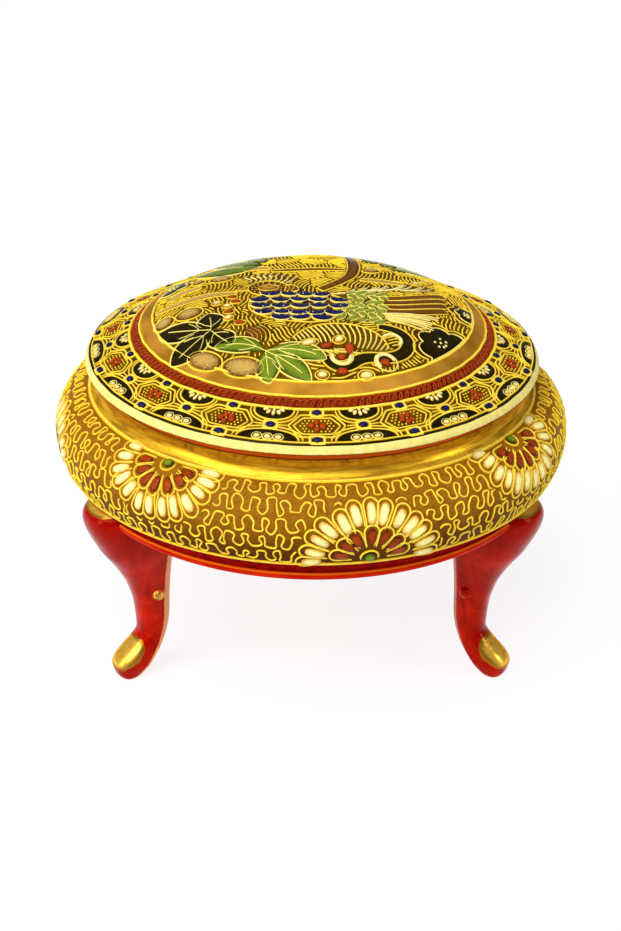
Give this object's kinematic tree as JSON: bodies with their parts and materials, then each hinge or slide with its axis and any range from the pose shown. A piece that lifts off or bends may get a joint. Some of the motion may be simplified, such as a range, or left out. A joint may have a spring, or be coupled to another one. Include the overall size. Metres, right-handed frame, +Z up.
{
  "type": "footed bonbonniere",
  "caption": "Squat round covered box on three cabriole legs, with a domed lid that lifts off; raised slip pattern on a gold and red glaze.",
  "frame": {"origin": "on the ground, under the middle of the bowl", "axes": "+Z up along the bowl's axis, +Y from the axis towards the back leg"},
  "size_m": [0.14, 0.14, 0.1025],
  "materials": {
    "bowl_glaze": "glossy red-orange glaze on the legs and base, gilt neck, brown-gold belly with raised yellow slip",
    "lid_glaze": "brown-gold ground with raised yellow slip lines, coloured enamels, satin gold band and cream rim"
  },
  "bodies": {
    "root": {"bowl": "bowl_glaze", "lid": "lid_glaze"}
  },
  "joints": []
}
